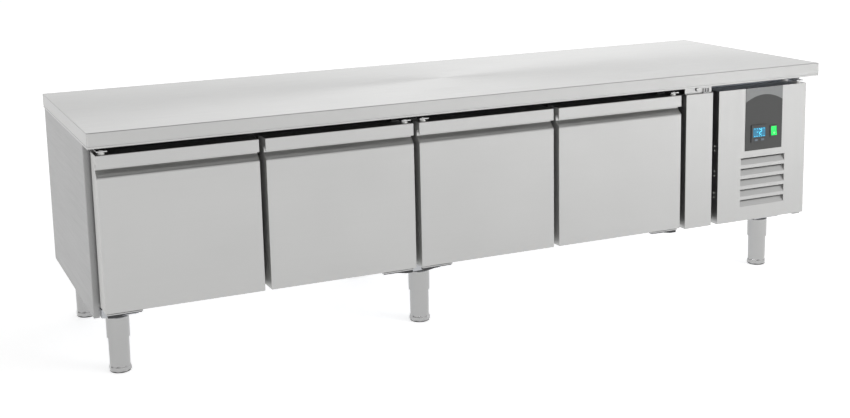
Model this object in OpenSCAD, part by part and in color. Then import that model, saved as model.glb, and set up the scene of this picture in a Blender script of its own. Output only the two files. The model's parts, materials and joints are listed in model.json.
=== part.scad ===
// Low four-door refrigerated counter with a machine compartment on its right.
// Origin on the floor under the middle of the worktop: +X right, +Y back, +Z up, millimetres.

/* [Overall size] */
// Length of the worktop
counter_l = 2230; // [2200:1:2260]
// Depth of the worktop
counter_d = 700; // [690:1:720]
// Height of the worktop above the floor
counter_h = 650; // [640:1:670]
// Height of the worktop's folded edge
edge_h = 40; // [38:1:42]

/* [Cabinet] */
// Distance from the worktop's front edge back to the cabinet's front
setback = 85; // [84:1:88]
// Height of the cabinet's base above the floor
base_z = 182; // [180:1:184]
// Height of the side panels' lower edge above the floor
side_z = 158; // [156:1:160]
// Thickness of the stainless steel sheet
sheet = 1.2; // [1:0.1:1.5]

/* [Doors] */
// Width of one door
door_w = 414; // [410:1:416]
// Gap between two doors
door_gap = 17; // [17:1:20]
// Height of the doors' lower edge above the floor
door_z = 189; // [188:1:192]
// Thickness of a door without its gasket
door_t = 65; // [62:1:66]
// Distance of a hinge pin from the door's edge and from its front
pin_in = 18; // [17:0.5:19]

/* [Door grip] */
// Height of the nose above the fingers
nose_h = 34; // [32:1:36]
// Thickness of the nose in front of the fingers
nose_t = 6; // [5.5:0.5:8]
// Height of the finger space behind the nose
nose_up = 10; // [8:1:12]
// Depth of the finger recess
grip_d = 18; // [15:1:20]
// Height from the door's top to the recess's lower lip
grip_h = 57; // [52:1:60]

/* [Panels] */
// Width of the fixed panel beside the doors
fixed_w = 95; // [90:1:100]
// Width of the service panel
service_w = 325; // [315:1:330]
// Height of both panels' lower edge above the floor
panel_z = 183; // [182:1:186]
// Number of air louvres in the service panel
louvres = 5; // [3:1:5]

/* [Legs] */
// Outer diameter of a leg tube
leg_d = 60; // [58:1:64]
// Diameter of the adjustable sleeve
sleeve_d = 54; // [50:1:54]
// Height of the leg tube's lower end above the floor
tube_z = 92; // [85:1:100]

/* [Hidden] */
$fn = 48;
eps = 0.5;

// Worktop and cabinet
top_x = counter_l / 2;
top_y = counter_d / 2;
body_top = counter_h - edge_h;
body_x = top_x - 3;
front_y = setback - top_y;
back_y = top_y - 3;
wall = 50;
inner_back = back_y - wall;
inner_floor = base_z + 42;
inner_top = body_top - 51;
edge_lip = 12;
corner_r = 4;

// Doors and panels, all with their fronts in one plane
face_y = 5 - top_y;
door_back = face_y + door_t;
door_top = body_top - 18;
first_door = 19 - top_x;
door_pitch = door_w + door_gap;
frame_in = 34;
fixed_x = first_door + 4 * door_pitch + 1;
service_x = fixed_x + fixed_w + 22;
service_end = service_x + service_w;
panel_top = door_top - 1;
service_back = face_y + 62;
gasket_in = 14;
gasket_w = 20;
gasket_back = front_y - 1.8;
pin_y = face_y + pin_in;
pin_d = 8;
bore_d = 8.16;
pin_depth = 16;

// Walls of the cold chamber
chamber_left = first_door + frame_in;
chamber_right = fixed_x - 17 - frame_in - 1;
bay_right = fixed_x + 61;
partition_x = bay_right + 48;

// Shelves
shelf_w = 325;
shelf_d = 530;
shelf_z = 392;
rack_x = shelf_w / 2 + 2;
rack_front = front_y + 65;
rack_back = inner_back - 9;

// Evaporator fan, which turns about X
evap_fan_y = -90;
evap_fan_z = 430;
evap_fan_d = 150;

// Condensing unit and its fan, which turns about Y
machine_x = (partition_x + body_x) / 2;
cond_fan_x = machine_x - 10;
cond_fan_z = 318;
cond_fan_d = 190;
cond_w = 230;
cond_h = 230;
cond_y = front_y + 25;

// Controls on the service panel
plate_x = service_x + 98;
plate_w = 137;
plate_h = 192;
plate_t = 1.2;
stat_x = service_x + 148;
stat_z = panel_top - 141;
stat_w = 58;
stat_h = 54;
rocker_x = service_x + 204;
rocker_z = panel_top - 138;
rocker_w = 20.4;
rocker_h = 28;
rocker_tilt = 6;
key_w = 12;
key_h = 6;
key_z = stat_z - 19;
louvre_x = service_x + 83;
louvre_w = 166;
louvre_h = 21.5;
louvre_pitch = 32.5;
louvre_top = panel_top - 213;

// Legs
leg_xs = [67 - top_x, -197, 985];
neck_z = 150;
bracket_w = 96;
leg_ys = [30 - setback / 2 - 222, 255];
leg_ps = [for (y = leg_ys) for (x = leg_xs) [x, y]];

function door_left(i) = first_door + i * door_pitch;
function door_mid(i) = door_left(i) + door_w / 2;
// Doors 1 and 3 hang on their left edges, doors 2 and 4 on their right edges.
function hung_left(i) = i % 2 == 0;
function pin_x(i) = hung_left(i) ? door_left(i) + pin_in : door_left(i) + door_w - pin_in;

// A block between two corners
module block(a, b) {
    translate(a) cube(b - a);
}

// A rectangle with round corners, centred on the origin
module round_rect(x, y, r) {
    square([x - 2 * r, y], center = true);
    square([x, y - 2 * r], center = true);
    for (sx = [-1, 1], sy = [-1, 1])
        translate([sx * (x / 2 - r), sy * (y / 2 - r)]) circle(r);
}

// A round bar along X from x0 to x1
module bar_x(x0, x1, y, z, d) {
    translate([x0, y, z]) rotate([0, 90, 0]) cylinder(h = x1 - x0, d = d);
}

// A round bar along Y from y0 to y1
module bar_y(x, y0, y1, z, d) {
    translate([x, y0, z]) rotate([-90, 0, 0]) cylinder(h = y1 - y0, d = d);
}

// A tube of straight runs through a list of points, with a ball a little thicker at each elbow
module pipe(points, d) {
    for (i = [0 : len(points) - 2]) {
        run = points[i + 1] - points[i];
        translate(points[i])
            rotate([0, acos(run[2] / norm(run)), atan2(run[1], run[0])])
                cylinder(h = norm(run), d = d, $fn = 20);
    }
    for (i = [1 : len(points) - 2]) translate(points[i]) sphere(d = d + 1, $fn = 20);
}

module worktop() color("gainsboro") {
    translate([0, 0, body_top]) difference() {
        linear_extrude(edge_h) round_rect(counter_l, counter_d, corner_r);
        translate([0, 0, sheet])
            linear_extrude(edge_h - 2 * sheet)
                round_rect(counter_l - 2 * sheet, counter_d - 2 * sheet, corner_r - sheet);
        translate([0, 0, -eps])
            linear_extrude(edge_h / 2)
                square([counter_l - 2 * edge_lip, counter_d - 2 * edge_lip], center = true);
    }
}

module worktop_board() color("burlywood")
    block([edge_lip + 3 - top_x, edge_lip + 3 - top_y, body_top],
          [top_x - edge_lip - 3, top_y - edge_lip - 3, counter_h - sheet]);

// A side sheet with a folded front stile, which is notched beside the leg bracket; side is -1 on
// the left and 1 on the right
module side_panel(side, stile_w) color("silver")
    translate([side * body_x, 0, 0]) mirror([side > 0 ? 1 : 0, 0, 0]) {
        block([0, front_y, side_z], [sheet, back_y, body_top]);
        block([0, front_y, side_z], [15, front_y + sheet, base_z + 1]);
        block([0, front_y, base_z + 1], [stile_w, front_y + sheet, body_top]);
    }

module back_panel() color("silver")
    block([sheet - body_x, back_y - sheet, base_z], [partition_x, back_y, body_top]);

// The sheet that frames the four door openings and the machine bay
module front_frame() color("silver") difference() {
    block([22.5 - body_x, front_y, base_z], [body_x - 32.5, front_y + sheet, body_top]);
    block([partition_x + 12, front_y - eps, base_z + 18], [body_x - 46, front_y + 2, door_top - 7]);
    for (i = [0 : 3])
        block([door_left(i) + frame_in, front_y - eps, inner_floor],
              [door_left(i) + door_w - frame_in, front_y + 2, inner_top]);
}

// The inner skin of the chamber, open at the front
module liner() color("whitesmoke") difference() {
    block([chamber_left - 0.8, front_y + sheet, inner_floor],
          [bay_right, inner_back + 0.8, inner_top]);
    block([chamber_left, front_y - eps, inner_floor + 0.8],
          [bay_right - 0.8, inner_back, inner_top - 0.8]);
}

module base_panel() color("silver")
    block([sheet - body_x, front_y + sheet, base_z], [partition_x, back_y - sheet, base_z + sheet]);

module foam_floor() color("khaki")
    block([sheet - body_x, front_y + sheet, base_z + sheet], [partition_x, back_y - sheet, inner_floor]);

module foam_top() color("khaki")
    block([sheet - body_x, front_y + sheet, inner_top], [partition_x, back_y - sheet, body_top]);

module foam_back() color("khaki")
    block([chamber_left - 0.8, inner_back + 0.8, inner_floor], [bay_right, back_y - sheet, inner_top]);

module foam_left() color("khaki")
    block([sheet - body_x, front_y + sheet, inner_floor],
          [chamber_left - 0.8, back_y - sheet, inner_top]);

// The insulated wall beside the machine compartment, and the post that closes the evaporator's bay
module foam_partition() color("khaki") {
    block([bay_right, front_y + sheet, inner_floor], [partition_x, back_y - sheet, inner_top]);
    block([chamber_right, front_y + sheet, inner_floor + 0.8],
          [bay_right - 0.8, front_y + 51, inner_top - 0.8]);
}

module mullions() color("whitesmoke")
    for (i = [0 : 2])
        block([door_left(i) + door_w - frame_in, front_y + sheet, inner_floor + 0.8],
              [door_left(i + 1) + frame_in, front_y + 60, inner_top - 0.8]);

// Slotted posts and angle runners, one pair of each at the sides of every bay
module shelf_racks() color("silver")
    for (i = [0 : 3], flip = [0, 1]) translate([door_mid(i), 0, 0]) mirror([flip, 0, 0]) {
        for (y = [rack_front, rack_back - 12]) difference() {
            block([rack_x, y, inner_floor + 0.8], [rack_x + 8, y + 12, inner_top - 0.8]);
            for (z = [inner_floor + 30 : 30 : inner_top - 25])
                block([rack_x - 1, y + 4, z], [rack_x + 9, y + 8, z + 12]);
        }
        block([rack_x - sheet, rack_front, shelf_z - 3], [rack_x, rack_back, shelf_z + 12]);
        block([rack_x - 24, rack_front, shelf_z - 3 - sheet], [rack_x, rack_back, shelf_z - 3]);
    }

// Wire shelves: a frame, two cross bars and a row of thin wires
module shelves() color("lightgray")
    for (i = [0 : 3]) translate([door_mid(i), inner_back - 6 - shelf_d / 2, shelf_z]) {
        for (s = [-1, 1]) {
            bar_y(s * (shelf_w / 2 - 3), 3 - shelf_d / 2, shelf_d / 2 - 3, 0, 6, $fn = 20);
            bar_x(3 - shelf_w / 2, shelf_w / 2 - 3, s * (shelf_d / 2 - 3), 0, 6, $fn = 20);
            bar_x(3 - shelf_w / 2, shelf_w / 2 - 3, s * shelf_d / 6, 0, 6, $fn = 20);
            for (t = [-1, 1])
                translate([s * (shelf_w / 2 - 3), t * (shelf_d / 2 - 3), 0]) sphere(d = 6, $fn = 20);
        }
        for (k = [-5.5 : 5.5])
            bar_y(k * 25, 3 - shelf_d / 2, shelf_d / 2 - 3, 2.5, 3, $fn = 16);
    }

// The air cover at the chamber's right end, with its fan hole and its return slots
module evaporator_cover() color("whitesmoke") difference() {
    block([chamber_right + 3, front_y + 52, inner_floor + 1], [chamber_right + 3 + sheet, inner_back - 1, inner_top - 1]);
    bar_x(chamber_right, chamber_right + 6, evap_fan_y, evap_fan_z, evap_fan_d + 8);
    for (z = [inner_floor + 30 : 16 : inner_floor + 280])
        block([chamber_right, 60, z], [chamber_right + 6, 250, z + 7]);
}

// Finned block with six tubes
module evaporator_coil() color("silver") {
    for (k = [0 : 21])
        block([chamber_right + 30, 30 + 11 * k, inner_floor + 40],
              [chamber_right + 95, 31 + 11 * k, inner_top - 30]);
    for (x = [chamber_right + 46, chamber_right + 79], z = [inner_floor + 75 : 62 : inner_top - 50])
        bar_y(x, 18, 276, z, 10);
    for (y = [24, 266])
        block([chamber_right + 30, y, inner_floor + 36], [chamber_right + 95, y + 2, inner_top - 1]);
}

module evaporator_motor() color("dimgray") {
    bar_x(chamber_right + 44, chamber_right + 82, evap_fan_y, evap_fan_z, 58);
    bar_x(chamber_right + 24, chamber_right + 45, evap_fan_y, evap_fan_z, 6);
    block([chamber_right + 78, evap_fan_y - 14, evap_fan_z - 90],
          [chamber_right + 82, evap_fan_y + 14, evap_fan_z + 90]);
    for (s = [-1, 1])
        block([chamber_right + 78, evap_fan_y - 14, evap_fan_z + s * 88 - 2],
              [bay_right - 1, evap_fan_y + 14, evap_fan_z + s * 88 + 2]);
}

module evaporator_tray() color("whitesmoke") difference() {
    block([chamber_right + 12, 10, inner_floor + 6], [bay_right - 4, inner_back - 6, inner_floor + 30]);
    block([chamber_right + 14, 12, inner_floor + 8], [bay_right - 6, inner_back - 8, inner_floor + 31]);
}

// A folded tray, open at the back, between two corners
module tray(a, b) difference() {
    block(a, b);
    block([a[0] + sheet, a[1] + sheet, a[2] + sheet], [b[0] - sheet, b[1] + eps, b[2] - sheet]);
}

module fixed_panel() color("gainsboro") {
    tray([fixed_x, face_y, panel_z], [fixed_x + fixed_w, front_y, panel_top]);
    for (x = [fixed_x + 24, fixed_x + fixed_w - 24])
        translate([x, face_y + 40, panel_top]) cylinder(h = 4, d = 9, $fn = 6);
}

// The tray that carries the compressor and the condenser
module machine_base() color("silver") difference() {
    block([partition_x + 1, front_y + 3, base_z], [body_x - sheet - 1, back_y - 3, base_z + 16]);
    block([partition_x + 3, front_y + 5, base_z + 2], [body_x - sheet - 3, back_y - 5, base_z + 17]);
}

module rear_grille() color("silver") difference() {
    block([partition_x + 1, back_y - sheet, base_z], [body_x - sheet, back_y, body_top]);
    for (x = [partition_x + 45 : 70 : body_x - 90], z = [base_z + 110 : 14 : base_z + 350])
        block([x, back_y - 4, z], [x + 54, back_y + 2, z + 6]);
    bar_y(body_x - 60, back_y - 4, back_y + 2, base_z + 60, 14);
}

module cable_gland() color("black") {
    difference() {
        union() {
            bar_y(body_x - 60, back_y - 14, back_y + 2.5, base_z + 60, 13.6);
            bar_y(body_x - 60, back_y - 12, back_y - sheet, base_z + 60, 22, $fn = 6);
        }
        bar_y(body_x - 60, back_y - 15, back_y + 3, base_z + 60, 8);
    }
}

// A hermetic compressor: a lathed shell on four feet, with its terminal box
module compressor() color("black") translate([machine_x + 15, 150, base_z + 2]) {
    rotate_extrude() polygon(concat(
        [[0, 18], [50, 18]],
        [for (a = [-80 : 10 : 0]) [50 + 30 * cos(a), 48 + 30 * sin(a)]],
        [[80, 90], [84, 90], [84, 96], [80, 96]],
        [for (a = [0 : 10 : 90]) [40 + 40 * cos(a), 130 + 40 * sin(a)]],
        [[0, 170]]
    ));
    translate([0, 0, 14]) linear_extrude(4) square([190, 110], center = true);
    for (x = [-82, 82], y = [-42, 42]) translate([x, y, 0]) cylinder(h = 15, d = 24);
    block([-30, -104, 50], [30, -76, 110]);
}

// A finned block whose fins stand along Y, with its tube rows and end plates
module condenser_coil() color("silver") translate([cond_fan_x, cond_y, base_z + 20]) {
    for (k = [-14 : 14]) block([8 * k - 0.4, 0, 0], [8 * k + 0.4, 36, cond_h]);
    for (s = [-1, 1]) block([s * cond_w / 2 - 1, -2, -18], [s * cond_w / 2 + 1, 40, cond_h + 2]);
    for (z = [20 : 38 : cond_h - 10], y = [10, 26])
        bar_x(-cond_w / 2 - 8, cond_w / 2 + 8, y, z, 9);
}

module condenser_shroud() color("black") difference() {
    union() {
        block([cond_fan_x - 122, cond_y + 40, base_z + 16.2], [cond_fan_x + 122, cond_y + 43, base_z + 262]);
        bar_y(cond_fan_x, cond_y + 40, cond_y + 64, cond_fan_z, cond_fan_d + 14, $fn = 64);
    }
    bar_y(cond_fan_x, cond_y + 38, cond_y + 66, cond_fan_z, cond_fan_d + 8, $fn = 64);
}

// The fan motor hangs on four arms that are bolted to the shroud
module condenser_motor() color("dimgray") {
    bar_y(cond_fan_x, cond_y + 76, cond_y + 134, cond_fan_z, 64);
    bar_y(cond_fan_x, cond_y + 56, cond_y + 77, cond_fan_z, 8);
    for (s = [-1, 1], t = [-1, 1]) {
        pipe([[cond_fan_x + s * 18, cond_y + 84, cond_fan_z + t * 18],
              [cond_fan_x + s * 90, cond_y + 84, cond_fan_z + t * 90],
              [cond_fan_x + s * 90, cond_y + 43, cond_fan_z + t * 90]], 6);
    }
}

// An axial fan with its hub at the origin, which turns about Z on a shaft of the given diameter
module axial_fan(d, blades, depth, shaft_d) {
    difference() {
        union() {
            cylinder(h = depth, d = d * 0.26, center = true);
            for (k = [0 : blades - 1]) rotate([0, 0, k * 360 / blades])
                translate([d * 0.29, 0, 0]) rotate([28, 0, 0])
                    cube([d * 0.40, d * 0.30, 1.6], center = true);
        }
        difference() {
            cylinder(h = d, d = d * 1.5, center = true);
            cylinder(h = d + 2, d = d, center = true, $fn = 64);
        }
        translate([0, 0, -depth]) cylinder(h = depth * 1.2, d = shaft_d + 0.1, $fn = 32);
    }
}

module condenser_fan() color("gray")
    translate([cond_fan_x, cond_y + 56, cond_fan_z]) rotate([90, 0, 0]) axial_fan(cond_fan_d, 5, 22, 8);

module evaporator_fan() color("gray")
    translate([chamber_right + 22, evap_fan_y, evap_fan_z]) rotate([0, -90, 0])
        axial_fan(evap_fan_d, 4, 18, 6);

// Copper lines between the compressor, the condenser and the partition, with the filter drier
module refrigerant_lines() color("peru") {
    y0 = cond_y + 26;
    left = cond_fan_x - cond_w / 2 - 9;
    pipe([[machine_x - 65, 150, base_z + 140], [left - 20, 150, base_z + 140],
          [left - 20, y0 + 30, base_z + 140], [left - 20, y0, base_z + 230],
          [left, y0, base_z + 230]], 8);
    pipe([[left, y0, base_z + 40], [left - 12, y0, base_z + 40], [left - 12, 60, base_z + 40]], 6);
    bar_y(left - 12, 60, 170, base_z + 40, 22);
    pipe([[left - 12, 170, base_z + 40], [left - 12, 230, base_z + 40],
          [left - 12, 230, base_z + 250], [partition_x, 230, base_z + 250]], 6);
    pipe([[machine_x + 15, 231, base_z + 120], [machine_x + 15, 270, base_z + 120],
          [machine_x + 15, 270, base_z + 290], [partition_x, 270, base_z + 290]], 10);
}

module electrical_box() color("lightgray") {
    block([machine_x - 60, -200, body_top - 110], [machine_x + 110, -60, body_top - 20]);
    block([machine_x - 62, -202, body_top - 20], [machine_x + 112, -58, body_top - 14]);
    for (x = [machine_x - 40, machine_x + 90])
        block([x - 8, -150, body_top - 14], [x + 8, -110, body_top]);
}

// A top or bottom hinge bracket with its riveted pin; up is 1 where the pin points up
module hinge_bracket(x, x_min, x_max, z, up) translate([0, 0, z]) mirror([0, 0, up > 0 ? 0 : 1]) {
    block([x_min, pin_y - 11, 0], [x_max, front_y, 3]);
    block([x_min, front_y - 1.4, 0], [x_max, front_y, 14]);
    translate([x, pin_y, 0]) cylinder(h = 6 + pin_depth, d = pin_d);
}

module hinge_brackets_top() color("gray") {
    for (i = [0 : 3]) hinge_bracket(pin_x(i), pin_x(i) - 13, pin_x(i) + 13, door_top + 9, -1);
    hinge_bracket(service_end - pin_in, service_end - pin_in - 13, service_end - 5, panel_top + 9, -1);
}

// The closing spring's housing under a bottom bracket, tapered away from the pin
module spring_arm(x, side) translate([x, pin_y + 6, door_z - 6]) mirror([side > 0 ? 0 : 1, 0, 0])
    rotate([90, 0, 0]) linear_extrude(14)
        polygon([[-11, 0], [-11, -8], [8, -8], [34, -3.5], [75, -3], [75, 0]]);

module hinge_brackets_bottom() color("gray") {
    for (i = [0 : 3]) {
        side = pin_x(i) < door_mid(i) ? 1 : -1;
        hinge_bracket(pin_x(i), pin_x(i) - (side > 0 ? 13 : 77), pin_x(i) + (side > 0 ? 77 : 13),
                      door_z - 6, 1);
        spring_arm(pin_x(i), side);
    }
    hinge_bracket(service_end - pin_in, service_end - pin_in - 13, service_end - 5, panel_z - 6, 1);
}

// Two blind holes for the hinge pins, from z0 up and from z1 down
module pin_holes(x, z0, z1) {
    translate([x, pin_y, z0 - eps]) cylinder(h = pin_depth + 3 + eps, d = bore_d);
    translate([x, pin_y, z1 - pin_depth - 3]) cylinder(h = pin_depth + 3 + eps, d = bore_d);
}

// A door seen from its end, inset by t: the nose, the recess that turns up behind it
// and the flat front below
function door_outline(t) = [
    [door_back, door_z + t], [face_y + t, door_z + t],
    [face_y + t, door_top - grip_h],
    [face_y + t + grip_d, door_top - grip_h + 17],
    [face_y + t + grip_d, door_top - nose_h + nose_up + t],
    [face_y + nose_t - t, door_top - nose_h + nose_up + t],
    [face_y + nose_t - t, door_top - nose_h + t],
    [face_y + t, door_top - nose_h + t],
    [face_y + t, door_top - t], [door_back, door_top - t],
];

// An end outline in Y and Z, pushed from x0 to x1
module along_x(x0, x1) {
    translate([x0, 0, 0]) rotate([90, 0, 90]) linear_extrude(x1 - x0) children();
}

module door_shell(i) color("gainsboro") difference() {
    along_x(door_left(i), door_left(i) + door_w) polygon(door_outline(0));
    along_x(door_left(i) + sheet, door_left(i) + door_w - sheet) polygon(
        concat([[door_back + eps, door_z + sheet]], [for (k = [1 : 8]) door_outline(sheet)[k]],
               [[door_back + eps, door_top - sheet]]));
    pin_holes(pin_x(i), door_z, door_top);
}

// The foam core with its inner liner, whose middle is raised toward the chamber
module door_core(i) color("whitesmoke") difference() {
    union() {
        along_x(door_left(i) + sheet, door_left(i) + door_w - sheet) polygon(door_outline(sheet));
        block([door_left(i) + frame_in + 12, door_back - 1, inner_floor + 12],
              [door_left(i) + door_w - frame_in - 12, door_back + 6, inner_top - 12]);
    }
    pin_holes(pin_x(i), door_z, door_top);
}

module door_gasket(i) color("darkgray") difference() {
    block([door_left(i) + gasket_in, door_back, door_z + gasket_in],
          [door_left(i) + door_w - gasket_in, gasket_back, door_top - gasket_in]);
    block([door_left(i) + gasket_in + gasket_w, door_back - 1, door_z + gasket_in + gasket_w],
          [door_left(i) + door_w - gasket_in - gasket_w, front_y, door_top - gasket_in - gasket_w]);
}

// One louvre: its sheet leans inward to the top between two cheeks
module louvre(z) {
    along_x(louvre_x, louvre_x + louvre_w)
        polygon([[face_y, z], [face_y + 11, z + louvre_h - 1],
                 [face_y + 12.2, z + louvre_h - 1], [face_y + 1.2, z]]);
    for (x = [louvre_x, louvre_x + louvre_w - 1])
        along_x(x, x + 1)
            polygon([[face_y + 0.2, z], [face_y + 11.5, z + louvre_h], [face_y + 0.2, z + louvre_h]]);
}

module service_panel() color("gainsboro") {
    difference() {
        tray([service_x, face_y, panel_z], [service_end, service_back, panel_top]);
        for (k = [0 : louvres - 1])
            translate([0, 0, louvre_top - louvre_h - k * louvre_pitch])
                block([louvre_x, face_y - 1, 0], [louvre_x + louvre_w, face_y + 2, louvre_h]);
        block([stat_x - stat_w / 2 + 3, face_y - 1, stat_z - stat_h / 2 + 3],
              [stat_x + stat_w / 2 - 3, face_y + 2, stat_z + stat_h / 2 - 3]);
        block([rocker_x - 13, face_y - 1, rocker_z - 17], [rocker_x + 13, face_y + 2, rocker_z + 17]);
        pin_holes(service_end - pin_in, panel_z, panel_top);
    }
    for (k = [0 : louvres - 1]) louvre(louvre_top - louvre_h - k * louvre_pitch);
    difference() {
        union() for (z = [panel_z + sheet, panel_top - sheet - 22])
            block([service_end - 34, face_y + sheet, z], [service_end - sheet, service_back, z + 22]);
        pin_holes(service_end - pin_in, panel_z, panel_top);
    }
}

// The trim plate round the controls
module control_plate() color("gray") difference() {
    translate([plate_x + plate_w / 2, face_y, panel_top - plate_h / 2])
        rotate([90, 0, 0]) linear_extrude(plate_t) round_rect(plate_w, plate_h, 3);
    block([stat_x - stat_w / 2 + 3, face_y - 3, stat_z - stat_h / 2 + 3],
          [stat_x + stat_w / 2 - 3, face_y + 1, stat_z + stat_h / 2 - 3]);
    block([rocker_x - 13, face_y - 3, rocker_z - 17], [rocker_x + 13, face_y + 1, rocker_z + 17]);
}

// The thermostat: a bezel with a display window and two key holes, on a narrower body
module thermostat() color("black") translate([stat_x, face_y, stat_z]) difference() {
    union() {
        translate([0, -plate_t, 0])
            rotate([90, 0, 0]) linear_extrude(2.5) round_rect(stat_w, stat_h, 3);
        block([3.5 - stat_w / 2, -2, 3.5 - stat_h / 2], [stat_w / 2 - 3.5, 48, stat_h / 2 - 3.5]);
    }
    block([-23, -5, -11], [23, -3, 18]);
    for (s = [-1, 1])
        translate([s * 12, 0, key_z - stat_z])
            block([-key_w / 2 - 0.4, -5, -key_h / 2 - 0.4], [key_w / 2 + 0.4, 1, key_h / 2 + 0.4]);
}

// A thermostat key on the left (-1) or the right (1), which is pushed in along Y
module key(s) color("lightgray") translate([stat_x + s * 12, face_y, key_z])
    block([-key_w / 2, -4.8, -key_h / 2], [key_w / 2, -1, key_h / 2]);

// The rocker switch's frame and housing, with the bearing holes for the rocker's stubs
module switch_frame() color("black") translate([rocker_x, face_y, rocker_z]) difference() {
    union() {
        block([-14.5, -2.6, -18.5], [14.5, -plate_t, 18.5]);
        block([-12.7, -2, -16.7], [12.7, 34, 16.7]);
    }
    block([-rocker_w / 2 - 0.5, -3, -rocker_h / 2 - 1], [rocker_w / 2 + 0.5, 8, rocker_h / 2 + 1]);
    bar_x(-11.7, 11.7, 1, 0, 2.5);
}

// The rocker on its two stubs, at rest with its upper half pressed in
module power_rocker() color("limegreen")
    translate([rocker_x, face_y + 1, rocker_z]) rotate([-rocker_tilt, 0, 0]) {
        along_x(-rocker_w / 2, rocker_w / 2)
            polygon([[-2.8, 0], [-4.4, -rocker_h / 2], [-1, -rocker_h / 2 + 0.5], [3, -6],
                     [3, 6], [-1, rocker_h / 2 - 0.5], [-4.4, rocker_h / 2]]);
        bar_x(-11.2, 11.2, 0, 0, 2.4);
    }

// Leg tubes that hang by a narrower neck under pressed hat brackets
module legs() color("silver")
    for (p = leg_ps) translate([p[0], p[1], 0]) difference() {
        union() {
            translate([0, 0, tube_z]) cylinder(h = neck_z - tube_z, d = leg_d);
            translate([0, 0, neck_z]) cylinder(h = 11, d = leg_d - 2);
            block([-bracket_w / 2, -bracket_w / 2, neck_z + 10], [bracket_w / 2, bracket_w / 2, base_z]);
        }
        block([2 - bracket_w / 2, 2 - bracket_w / 2, neck_z + 12],
              [bracket_w / 2 - 2, bracket_w / 2 - 2, base_z - 2]);
        translate([0, 0, tube_z - eps]) cylinder(h = neck_z - tube_z + 14, d = sleeve_d + 2.4);
    }

// An adjustable foot: a sleeve inside the tube on an eight-sided foot
module foot(k) color("silver") translate([leg_ps[k][0], leg_ps[k][1], 0]) {
    rotate([0, 0, 22.5]) cylinder(h = 12, d = sleeve_d + 6, $fn = 8);
    translate([0, 0, 12]) cylinder(h = 128, d = sleeve_d);
}

worktop();
worktop_board();
side_panel(-1, 22);  // side_panel_left
side_panel(1, 32);  // side_panel_right
back_panel();
front_frame();
liner();
base_panel();
foam_floor();
foam_top();
foam_back();
foam_left();
foam_partition();
mullions();
shelf_racks();
shelves();
evaporator_cover();
evaporator_coil();
evaporator_motor();
evaporator_tray();
fixed_panel();
machine_base();
rear_grille();
cable_gland();
compressor();
condenser_coil();
condenser_shroud();
condenser_motor();
refrigerant_lines();
electrical_box();
hinge_brackets_top();
hinge_brackets_bottom();
legs();
door_shell(0);  // door_1_shell
door_core(0);  // door_1_core
door_gasket(0);  // door_1_gasket
door_shell(1);  // door_2_shell
door_core(1);  // door_2_core
door_gasket(1);  // door_2_gasket
door_shell(2);  // door_3_shell
door_core(2);  // door_3_core
door_gasket(2);  // door_3_gasket
door_shell(3);  // door_4_shell
door_core(3);  // door_4_core
door_gasket(3);  // door_4_gasket
service_panel();
control_plate();
thermostat();
switch_frame();
power_rocker();
key(-1);  // key_left
key(1);  // key_right
condenser_fan();
evaporator_fan();
foot(0);  // foot_1
foot(1);  // foot_2
foot(2);  // foot_3
foot(3);  // foot_4
foot(4);  // foot_5
foot(5);  // foot_6
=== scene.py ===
import json
import math

import bpy
from mathutils import Matrix, Vector


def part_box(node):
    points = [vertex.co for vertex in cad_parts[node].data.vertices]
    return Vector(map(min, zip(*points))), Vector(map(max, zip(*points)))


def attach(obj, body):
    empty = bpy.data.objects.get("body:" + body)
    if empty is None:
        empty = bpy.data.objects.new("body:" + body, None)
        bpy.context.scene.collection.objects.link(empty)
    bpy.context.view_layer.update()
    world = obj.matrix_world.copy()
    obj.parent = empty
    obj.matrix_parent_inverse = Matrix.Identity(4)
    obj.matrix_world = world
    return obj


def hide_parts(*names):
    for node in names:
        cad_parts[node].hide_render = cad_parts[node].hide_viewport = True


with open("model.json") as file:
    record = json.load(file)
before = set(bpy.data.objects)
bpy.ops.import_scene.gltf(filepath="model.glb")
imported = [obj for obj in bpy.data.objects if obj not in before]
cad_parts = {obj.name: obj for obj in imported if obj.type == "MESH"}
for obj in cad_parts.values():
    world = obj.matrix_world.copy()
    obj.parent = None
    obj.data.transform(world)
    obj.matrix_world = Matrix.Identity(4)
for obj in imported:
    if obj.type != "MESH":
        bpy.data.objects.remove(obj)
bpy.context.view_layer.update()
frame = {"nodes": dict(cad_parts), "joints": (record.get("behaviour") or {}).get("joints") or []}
MM = 0.001

# ---------------------------------------------------------------- places, read from the frame
BOX = {name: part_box(name) for name in frame["nodes"]}
WORKTOP_LO, WORKTOP_HI = BOX["worktop"]
DOORS = range(1, 5)
SHEET = 1.2 * MM
DOOR_BACK = BOX["door_1_shell"][1].y
FRONT_Y = BOX["side_panel_left"][0].y
JOINT = {j["name"]: j for j in frame["joints"]}


def pin_of(joint):
    """X and Y of a hinge pin."""
    return JOINT[joint]["pos_m"][:2]


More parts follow.
